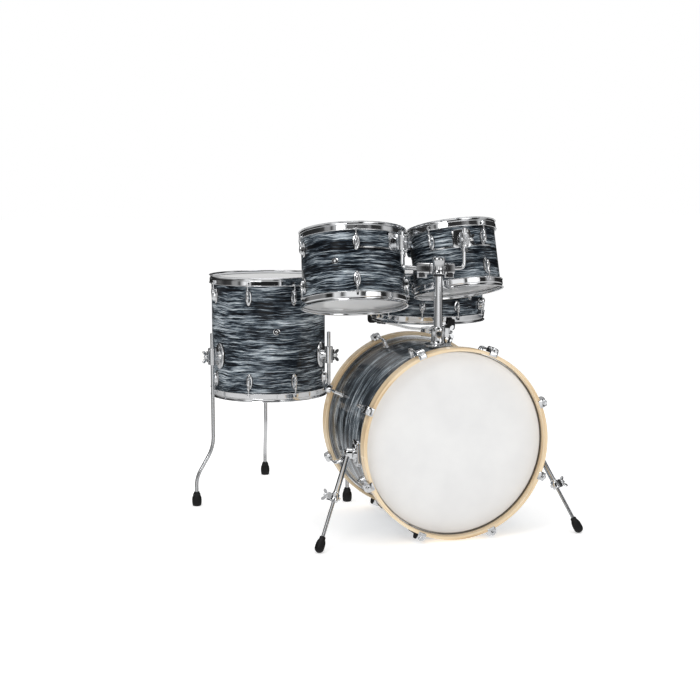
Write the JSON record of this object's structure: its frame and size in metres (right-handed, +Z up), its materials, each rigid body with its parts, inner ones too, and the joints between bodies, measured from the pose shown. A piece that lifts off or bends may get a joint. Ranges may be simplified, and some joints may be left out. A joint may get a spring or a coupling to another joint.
{
  "type": "drum kit",
  "caption": "Acoustic drum kit of bass drum on folding spurs, two toms on a bass-drum post, floor tom on legs, and snare drum on a tilting basket stand.",
  "frame": {"origin": "on the floor, at the centre of the kit's footprint box", "axes": "+Z up, -Y towards the audience, the way the bass drum's front head faces, +X towards the audience's right, which is the drummer's left"},
  "size_m": [1.0346, 1.0046, 0.8932],
  "materials": {
    "wrap": "glossy oyster wrap, charcoal and navy with pale wavy streaks running round the shell",
    "coated_head": "smooth white and lightly coated drum film",
    "clear_head": "translucent drum film",
    "maple": "clear gloss over natural maple",
    "chrome": "polished chrome plate",
    "steel": "bright drawn rod",
    "rubber": "matt black moulded rubber"
  },
  "bodies": {
    "bass_drum": {"bass_shell": "wrap", "bass_front_head": "coated_head", "bass_rear_head": "clear_head", "bass_front_hoop": "maple", "bass_rear_hoop": "maple", "spur_bracket_left": "chrome", "spur_bracket_right": "chrome", "tom_mount_base": "chrome", "tom_mount_wing_screw": "chrome"},
    "spur_left": {"spur_tube_left": "chrome", "spur_wing_screw_left": "chrome"},
    "spur_right": {"spur_tube_right": "chrome", "spur_wing_screw_right": "chrome"},
    "spur_rod_left": {"spur_rod_left": "steel", "spur_foot_left": "rubber"},
    "spur_rod_right": {"spur_rod_right": "steel", "spur_foot_right": "rubber"},
    "tom_post": {"tom_post": "chrome"},
    "tom_holder": {"tom_holder_head": "chrome"},
    "tom_arm_left": {"tom_arm_left": "chrome"},
    "tom_arm_right": {"tom_arm_right": "chrome"},
    "tom_large": {"tom_large_shell": "wrap", "tom_large_batter_head": "coated_head", "tom_large_resonant_head": "clear_head", "tom_large_top_hoop": "chrome", "tom_large_bottom_hoop": "chrome", "tom_large_bracket": "chrome"},
    "tom_small": {"tom_small_shell": "wrap", "tom_small_batter_head": "coated_head", "tom_small_resonant_head": "clear_head", "tom_small_top_hoop": "chrome", "tom_small_bottom_hoop": "chrome", "tom_small_bracket": "chrome"},
    "floor_tom": {"floor_tom_shell": "wrap", "floor_tom_batter_head": "coated_head", "floor_tom_resonant_head": "clear_head", "floor_tom_top_hoop": "chrome", "floor_tom_bottom_hoop": "chrome", "floor_tom_wing_screw_1": "chrome", "floor_tom_wing_screw_2": "chrome", "floor_tom_wing_screw_3": "chrome"},
    "snare_stand": {"snare_stand_tripod": "chrome"},
    "snare_stand_post": {"snare_stand_post": "chrome"},
    "snare_basket": {"snare_stand_basket": "chrome"},
    "snare": {"snare_shell": "wrap", "snare_batter_head": "coated_head", "snare_resonant_head": "clear_head", "snare_top_hoop": "chrome", "snare_bottom_hoop": "chrome", "snare_strainer": "chrome", "snare_butt_plate": "chrome"},
    "snare_lever": {"snare_throw_off_lever": "chrome"},
    "snare_wire_set": {"snare_wires": "steel"},
    "floor_tom_leg_1": {"floor_tom_leg_1": "steel", "floor_tom_foot_1": "rubber"},
    "floor_tom_leg_2": {"floor_tom_leg_2": "steel", "floor_tom_foot_2": "rubber"},
    "floor_tom_leg_3": {"floor_tom_leg_3": "steel", "floor_tom_foot_3": "rubber"}
  },
  "joints": [
    {"name": "spur_fold_left", "type": "hinge", "parent": "bass_drum", "child": "spur_left", "pos_m": [-0.14522, -0.34472, 0.24], "axis": [-0.9851, 0.1526, 0.0797], "range_deg": [-115, 0]},
    {"name": "spur_fold_right", "type": "hinge", "parent": "bass_drum", "child": "spur_right", "pos_m": [0.41279, -0.34472, 0.24], "axis": [0.9939, 0.0972, 0.0523], "range_deg": [0, 115]},
    {"name": "spur_length_left", "type": "slide", "parent": "spur_left", "child": "spur_rod_left", "axis": [0.4084, 0.4686, 0.7833], "range_m": [0, 0.07]},
    {"name": "spur_length_right", "type": "slide", "parent": "spur_right", "child": "spur_rod_right", "axis": [-0.3071, 0.4886, 0.8167], "range_m": [0, 0.07]},
    {"name": "tom_post_height", "type": "slide", "parent": "bass_drum", "child": "tom_post", "axis": [0, 0, 1], "range_m": [-0.02, 0.1]},
    {"name": "tom_holder_swivel", "type": "hinge", "parent": "tom_post", "child": "tom_holder", "pos_m": [0.13378, -0.29772, 0.757], "axis": [0, 0, 1], "range_deg": [-3, 3]},
    {"name": "large_tom_tilt", "type": "hinge", "parent": "tom_holder", "child": "tom_arm_left", "pos_m": [0.13378, -0.29772, 0.748], "axis": [-0.786, 0.6183, 0], "range_deg": [-6, 6]},
    {"name": "small_tom_tilt", "type": "hinge", "parent": "tom_holder", "child": "tom_arm_right", "pos_m": [0.13378, -0.29772, 0.748], "axis": [0.985, 0.1727, 0], "range_deg": [-6, 6]},
    {"name": "large_tom_swivel", "type": "hinge", "parent": "tom_arm_left", "child": "tom_large", "pos_m": [0.04779, -0.22372, 0.82], "axis": [0, 0, 1], "range_deg": [-2, 4]},
    {"name": "small_tom_swivel", "type": "hinge", "parent": "tom_arm_right", "child": "tom_small", "pos_m": [0.21579, -0.28272, 0.83], "axis": [0, 0, 1], "range_deg": [-5, 2]},
    {"name": "floor_tom_place", "type": "slide", "parent": "bass_drum", "child": "floor_tom", "axis": [-1, 0, 0], "range_m": [0, 0.15]},
    {"name": "floor_tom_leg_height_1", "type": "slide", "parent": "floor_tom", "child": "floor_tom_leg_1", "axis": [0, 0, 1], "range_m": [0, 0.1]},
    {"name": "floor_tom_leg_height_2", "type": "slide", "parent": "floor_tom", "child": "floor_tom_leg_2", "axis": [0, 0, 1], "range_m": [0, 0.1]},
    {"name": "floor_tom_leg_height_3", "type": "slide", "parent": "floor_tom", "child": "floor_tom_leg_3", "axis": [0, 0, 1], "range_m": [0, 0.1]},
    {"name": "snare_stand_place", "type": "slide", "parent": "bass_drum", "child": "snare_stand", "axis": [0, 1, 0], "range_m": [0, 0.12]},
    {"name": "snare_stand_height", "type": "slide", "parent": "snare_stand", "child": "snare_stand_post", "axis": [0, 0, 1], "range_m": [-0.09, 0.05]},
    {"name": "snare_basket_tilt", "type": "hinge", "parent": "snare_stand_post", "child": "snare_basket", "pos_m": [0.27879, 0.22028, 0.486], "axis": [1, 0, 0], "range_deg": [-10, 4]},
    {"name": "snare_lift_off", "type": "slide", "parent": "snare_basket", "child": "snare", "axis": [0, 0, 1], "range_m": [0, 0.09]},
    {"name": "snare_throw_off", "type": "hinge", "parent": "snare", "child": "snare_lever", "pos_m": [0.07951, 0.17756, 0.599], "axis": [0.2096, -0.9778, 0], "range_deg": [0, 70]},
    {"name": "snare_wire_drop", "type": "hinge", "parent": "snare", "child": "snare_wire_set", "pos_m": [0.43719, 0.25424, 0.55815], "axis": [0.2096, -0.9778, 0], "range_deg": [0, 0.945]}
  ],
  "couplings": [
    {"joint": "snare_wire_drop", "follows": "snare_throw_off", "ratio": 0.012278}
  ]
}
